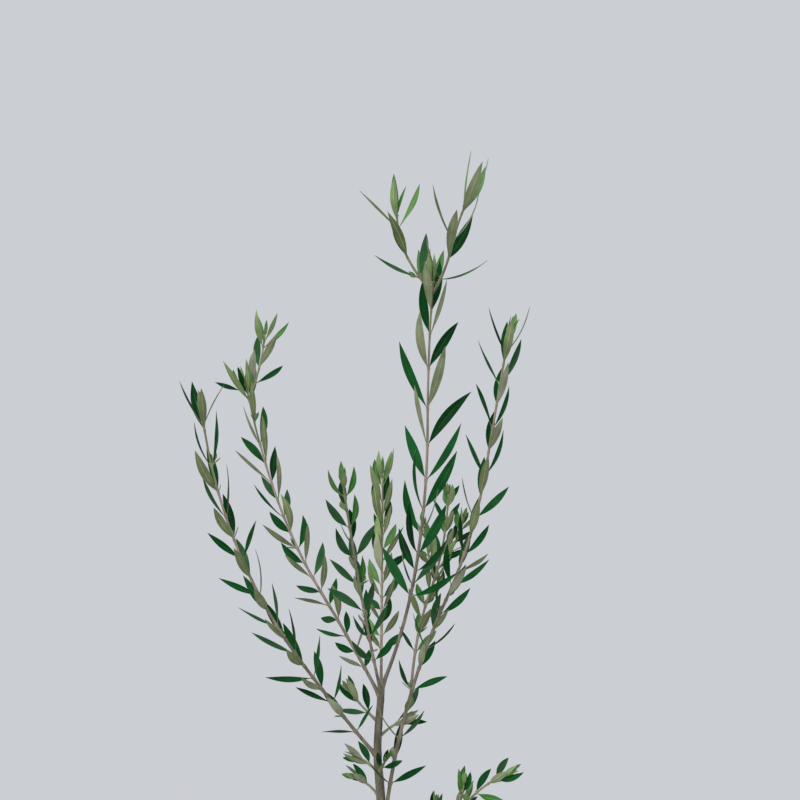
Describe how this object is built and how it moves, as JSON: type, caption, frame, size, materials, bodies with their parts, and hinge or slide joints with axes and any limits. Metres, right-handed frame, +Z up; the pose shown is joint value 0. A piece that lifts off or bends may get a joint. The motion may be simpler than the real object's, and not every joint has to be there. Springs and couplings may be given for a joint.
{
  "type": "potted olive tree",
  "caption": "Young olive tree in a plain round clay pot: a slim trunk forks into upright boughs with open sprays of narrow leaves in opposite pairs.",
  "frame": {"origin": "centre of the pot's flat underside", "axes": "+Z up along the pot's axis and the trunk; -Y towards the viewer, which is the plant's front; +X to the viewer's right"},
  "size_m": [0.3335, 0.2819, 1.1388],
  "materials": {
    "clay": "matt unglazed clay",
    "soil": "matt moist potting soil",
    "bark": "matt young bark",
    "foliage": "satin leathery leaf, paler below"
  },
  "bodies": {
    "root": {"bough_back": "bark", "bough_far_left": "bark", "bough_front": "bark", "bough_leader": "bark", "bough_left": "bark", "bough_low_back": "bark", "bough_low_back_right": "bark", "bough_low_front": "bark", "bough_low_front_left": "bark", "bough_low_left": "bark", "bough_low_right": "bark", "bough_right": "bark", "pot": "clay", "soil": "soil", "spray_back": "foliage", "spray_far_left": "foliage", "spray_front": "foliage", "spray_leader": "foliage", "spray_left": "foliage", "spray_low_back": "foliage", "spray_low_back_right": "foliage", "spray_low_front": "foliage", "spray_low_front_left": "foliage", "spray_low_left": "foliage", "spray_low_right": "foliage", "spray_right": "foliage", "spray_twig_front": "foliage", "spray_twig_left": "foliage", "spray_twig_mid_left": "foliage", "spray_twig_right": "foliage", "spray_twig_upper_left": "foliage", "trunk": "bark"}
  },
  "joints": []
}
